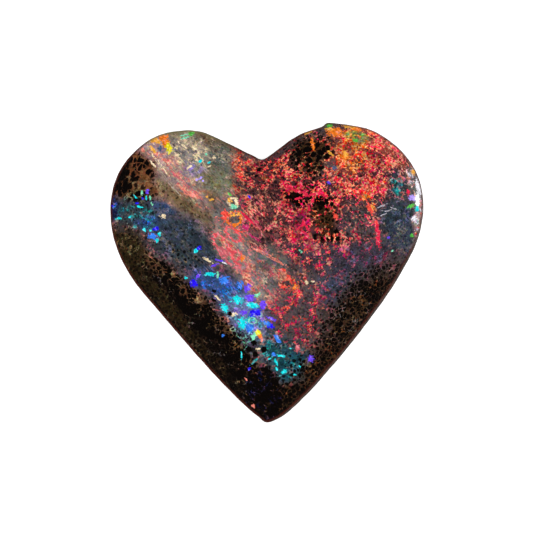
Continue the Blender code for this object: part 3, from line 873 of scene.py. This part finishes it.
def opalColour(place):
    far = place.shifted(pattern["move"])
    drifted = place.bent(*pattern["drift"])
    ragged = drifted.bent(*pattern["ragged"])
    base = Wire(place.tree)

    # veins, in streaks on the left, with a sparkle of small cells
    bentPlace = far.bent(*veinForm["bend"])
    turn, thin = veinForm["streak"]
    along = {"Vector": bentPlace, "Angle": math.radians(turn)}
    streaked = bentPlace.node("ShaderNodeVectorRotate", {"rotation_type": "Z_AXIS"}, along)
    streaked = streaked.vector("MULTIPLY", streaked, (thin, 1, 1))
    least, more = veinForm["streakyShares"]
    streaky = drifted.patch(*veinForm["streaky"])
    thinned = drifted.cloud(*veinForm["streakyLumps"]).ramp(*veinForm["streakyRange"])
    streaky = streaky * (least + thinned * more)
    plainWeave = weave(bentPlace, *veinForm["sizes"])
    streakWeave = weave(streaked, *veinForm["streakSizes"])
    plainCells = bentPlace.cells(veinForm["sparkleSize"], out="Color")
    streakCells = streaked.cells(veinForm["streakSparkle"], out="Color")
    random = streaky.mix(plainCells, streakCells)
    sparkle, jitter = channel(random, "Red"), channel(random, "Green")
    field = plainWeave + (streakWeave - plainWeave) * streaky * veinForm["streakShare"]
    field = field + sparkle * veinForm["sparkleShare"]
    clumps = far.cloud(veinForm["clumpSize"], 2.0).ramp(*veinForm["clumpRange"])
    tone = far.shifted(veinForm["toneMove"]).cloud(veinForm["toneSize"], 2.0).ramp(*veinForm["toneRange"])
    fibres = streaked.cloud(pattern["fibreSize"], 2.0)
    crumbs = far.cloud(pattern["crumbSize"], 1.0)
    lumpShare, crumbShare, fibreShare = pattern["gritShares"]
    grit = far.cloud(pattern["gritSize"], 4.0) * lumpShare + crumbs * crumbShare
    grit = grit + (fibres - crumbs) * streaky * fibreShare
    grit = grit.ramp(*pattern["gritRange"])

    chains = [colour("smoke"), colour("ash"), colour("rose"), pattern["firstAmounts"]]
    chains = layAreas(ragged, areas, chains)
    grainPlace = ragged.cells(grainForm["sizes"][0], out="Position")
    sockets = {0: pattern["barrenAndSheenEdge"], 4: ragged, 5: grainPlace}
    grainy = base.node("ShaderNodeMix", {"data_type": "VECTOR"}, sockets, out=1)
    ground, veinOne, veinTwo, recipe = layAreas(grainy, barrenAndSheenAreas, chains)
    veins, grains, hazeAndSheen = (channel(recipe, name) for name in ("Red", "Green", "Blue"))

    threshold, drop = veinForm["threshold"]
    veinMask = (field - (threshold - drop * veins)).ramp(*veinForm["edgeRange"])
    threads = fibres.ramp(*veinForm["threadRange"]) * streaky * veins * veinForm["threadShare"]
    veinMask = veinMask.most(threads)
    veinColour = base.node(
        "ShaderNodeHueSaturation",
        {},
        {
            "Hue": jitter.ramp(*veinForm["hueRange"]),
            "Saturation": jitter.ramp(*veinForm["saturationRange"]),
            "Value": sparkle.ramp(*veinForm["lightRange"]) * clumps,
            "Color": tone.mix(veinOne, veinTwo),
        },
    )
    result = veinMask.mix(ground.lit(grit), veinColour)
    sparks = (sparkle * veinMask).ramp(*veinForm["sparkRange"]) * veins
    result = (sparks * veinForm["sparkShare"]).mix(result, colour("peach"))
    plainTint = far.shifted(pattern["tintMove"]).cloud(pattern["tintSize"], 2.0, out="Color")
    streakTint = streaked.cloud(pattern["streakTintSize"], 2.0, out="Color")
    result = result.blended("OVERLAY", pattern["tintShare"], streaky.mix(plainTint, streakTint))

    # round dark grains, larger in a few places
    coarse = None
    for at, size in coarseAreas:
        here = drifted.patch(at, size)
        coarse = here if coarse is None else coarse.most(here)
    lumpy = far.bent(*grainForm["bend"])
    scattered = far.shifted(grainForm["scatterMove"]).cloud(grainForm["scatterSize"], 1.0)
    scattered = scattered.ramp(*grainForm["scatterRange"])
    fine, large = (lumpy.cells(size) * lumpy.cells(size, "F2") ** -1 for size in grainForm["sizes"])
    fromMiddle = fine + (large - fine) * coarse + (crumbs - 0.5) * grainForm["rag"]
    grainMask = (fromMiddle - grains * scattered * grainForm["reach"]).ramp(*grainForm["edgeRange"])
    grainCover = grainMask * grains.ramp(*grainForm["coverRange"])
    result = grainCover.mix(result, colour("ironstone"))
    # the milky veil: partly the opal's own milkiness, partly a painted reflection of the polish's gloss
    result = hazeAndSheen.mix(result, ground.lit(grit.ramp(*pattern["hazeAndSheenRange"])))

    # the strands and the flecks are gathered as one layer, with how much of it covers the ground
    flaky = place.bent(*fleckForm["bend"])
    fibreRag, crumbRag = fleckForm["rag"]
    ragging = (fibres - 0.5) * fibreRag + (crumbs - 0.5) * crumbRag
    outer, inner = fleckForm["curlRange"]
    layer, cover = (0, 0, 0, 1), 0.0
    for name, at, size, turn, width in curls:
        aside = abs(flaky.reach(at, size, turn) - 1.0) + ragging * (width * fleckForm["curlRag"])
        band = aside.ramp(width * outer, width * inner)
        layer, cover = band.mix(layer, colour(name)), band.most(cover)
    for name, places in flecks.items():
        mask = (nearestOf(flaky, places) + ragging * fleckForm["fleckRag"]).ramp(*fleckForm["fleckRange"])
        layer, cover = mask.mix(layer, colour(name)), mask.most(cover)
    gleam = sparkle.ramp(*fleckForm["gleamRange"]) * fibres.ramp(*fleckForm["fibreRange"])
    layer = layer.lit(gleam)
    ice = fibres.ramp(*fleckForm["iceRange"]) * cover * fleckForm["iceShare"]
    layer = ice.mix(layer, colour("white"))
    rest = cover.mix(result, (0, 0, 0, 1))
    result = rest.blended("ADD", 1.0, layer)
    dark = nearestOf(flaky, darkGrains) + ragging * fleckForm["grainRag"]
    dark = dark.ramp(*fleckForm["grainRange"])
    result = dark.mix(result, colour("ironstone"))
    return result, grainMask.most(dark)


# the plain ironstone of the wall and the back, with sizes in mm
ironstoneForm = {
    "bend": (1.2, 0.4),
    "lumpSize": 0.9,
    "lumpRange": (0.35, 0.62),
    "seamSize": 1.7,
    "seamWidth": 0.03,
    "seamShare": 0.7,
}


def ironstoneColour(place):
    bands = place.bent(*ironstoneForm["bend"])
    lumps = bands.cloud(ironstoneForm["lumpSize"], 4.0).ramp(*ironstoneForm["lumpRange"])
    dark = lumps.mix(colour("blackBrown"), colour("umber"))
    seams = abs(bands.cloud(ironstoneForm["seamSize"], 3.0) - 0.5).ramp(ironstoneForm["seamWidth"], 0.0)
    return (seams * ironstoneForm["seamShare"]).mix(dark, colour("rust"))


# the polish and its lower edge, in mm
polish = {
    "waverSize": 0.8,  # of that edge
    "waverHeight": 0.10,
    "starts": (0.02, 0.10),  # above the top of the wall
    "redRim": (0.26, 0.12),  # where the red rim ends, and where it is full
    "redRimShare": 0.8,
    "paleRim": ((-8.5, 13.6), (5.0, 2.0), -10, 0.4),
    "roughness": (0.10, 0.16),  # of the opal, and of the grains in it
    "ior": 1.46,
    "grainRise": -0.3,  # the grains are worn a little lower than the opal
    "groundSize": 0.25,  # the marks of the grinding outside the polish
    "groundRise": 6.0,
    "bumpStrength": 0.35,
    "bumpDistance": 0.01 * mm,
    "dullRoughness": 0.9,
    "dullSpecular": 0.1,
}


def opalFinish():
    material = bpy.data.materials.new("opal_in_ironstone")
    material.use_nodes = True
    tree = material.node_tree
    shader = tree.nodes["Principled BSDF"]
    metres = Wire(tree).node("ShaderNodeTexCoord", out="Object")
    place = metres.vector("SCALE", metres)
    place.socket.node.inputs["Scale"].default_value = 1 / mm
    height = Wire(tree).node("ShaderNodeSeparateXYZ", {}, {0: place}, "Z")

    top, grainMask = opalColour(place)
    side = ironstoneColour(place)
    wavering = height + place.cloud(polish["waverSize"], 2.0) * polish["waverHeight"]
    polished = wavering.ramp(*(wallTop + above for above in polish["starts"]))
    redRim = wavering.ramp(*(wallTop + above for above in polish["redRim"])) * polish["redRimShare"]
    paleRim = place.patch(*polish["paleRim"])
    surface = redRim.mix(top, paleRim.mix(colour("redLine"), colour("khaki")))
    surface = polished.mix(side, surface)
    rough = grainMask.ramp(0.0, 1.0, *polish["roughness"])

    for name, wire in (("Base Color", surface), ("Roughness", rough)):
        tree.links.new(wire.socket, shader.inputs[name])
    shader.inputs["IOR"].default_value = polish["ior"]
    relief = grainMask * polish["grainRise"]
    relief = relief + (1 - polished) * place.cloud(polish["groundSize"], 4.0) * polish["groundRise"]
    bump = {"Strength": polish["bumpStrength"], "Distance": polish["bumpDistance"], "Height": relief}
    bump = Wire(tree).node("ShaderNodeBump", {}, bump, "Normal")
    tree.links.new(bump.socket, shader.inputs["Normal"])

    # the ground wall and back are dull, without the gloss of the polish
    dull = {
        "Base Color": surface,
        "Roughness": polish["dullRoughness"],
        "Specular IOR Level": polish["dullSpecular"],
        "Normal": bump,
    }
    dull = Wire(tree).node("ShaderNodeBsdfPrincipled", {}, dull, "BSDF")
    gloss = Wire(tree, shader.outputs["BSDF"])
    both = Wire(tree).node("ShaderNodeMixShader", {}, {0: polished, 1: dull, 2: gloss}, "Shader")
    tree.links.new(both.socket, tree.nodes["Material Output"].inputs["Surface"])
    return material


stone.data.materials.append(opalFinish())
print("finish laid on the stone")


studio = {
    "skyStrength": 0.04,
    "keyEnergy": 3.5,  # a wide sun that lights the floor evenly; it has no reflection of its own
    "keyAngle": 130,
    "keyTilt": (8, -6),
    "floorSize": 3.0,
    "floorTone": 0.93,
    "floorGlow": 0.6,  # a floor as bright as a light table, so the shadow nearly goes
    "floorRoughness": 0.8,
    "floorDrop": 0.01 * mm,  # the floor's gap below the stone
}

# soft lights that the polish reflects: way to the light from above in degrees, angle off the axis, distance
# and size in metres, and strength
cards = {
    "rightStrip": (6, 82, 0.25, (0.03, 0.012), 0.10),
}


def makeStudio():
    world = bpy.data.worlds.new("studioAir")
    world.use_nodes = True
    world.node_tree.nodes["Background"].inputs["Color"].default_value = (1, 1, 1, 1)
    world.node_tree.nodes["Background"].inputs["Strength"].default_value = studio["skyStrength"]
    bpy.context.scene.world = world

    key = bpy.data.lights.new("wideKey", "SUN")
    key.energy = studio["keyEnergy"]
    key.angle = math.radians(studio["keyAngle"])
    keyLight = bpy.data.objects.new("wideKey", key)
    keyLight.rotation_euler = [math.radians(angle) for angle in (*studio["keyTilt"], 0)]
    keyLight.visible_glossy = False
    bpy.context.scene.collection.objects.link(keyLight)

    for name, (way, off, distance, size, strength) in cards.items():
        card = bpy.data.lights.new(name, "AREA")
        card.shape = "RECTANGLE"
        card.size, card.size_y = size
        card.energy = strength
        around, down = math.radians(way), math.radians(off)
        level = math.sin(down)
        towards = Vector((math.cos(around) * level, math.sin(around) * level, math.cos(down)))
        light = bpy.data.objects.new(name, card)
        light.location = towards * distance
        light.rotation_mode = "QUATERNION"
        light.rotation_quaternion = towards.to_track_quat("Z", "Y")
        bpy.context.scene.collection.objects.link(light)


def makeFloor():
    mesh = bmesh.new()
    bmesh.ops.create_grid(mesh, x_segments=1, y_segments=1, size=studio["floorSize"] / 2)
    bmesh.ops.translate(mesh, verts=mesh.verts, vec=(0, 0, cadBox[0].z - studio["floorDrop"]))
    data = bpy.data.meshes.new("pale_floor")
    mesh.to_mesh(data)
    mesh.free()
    floor = bpy.data.objects.new("pale_floor", data)
    bpy.context.scene.collection.objects.link(floor)
    paint = bpy.data.materials.new("pale_paint")
    paint.use_nodes = True
    shader = paint.node_tree.nodes["Principled BSDF"]
    tone = studio["floorTone"]
    shader.inputs["Base Color"].default_value = (tone, tone, tone, 1)
    shader.inputs["Roughness"].default_value = studio["floorRoughness"]
    shader.inputs["Emission Color"].default_value = (1, 1, 1, 1)
    shader.inputs["Emission Strength"].default_value = studio["floorGlow"]
    data.materials.append(paint)


makeStudio()
makeFloor()
print("studio lit")
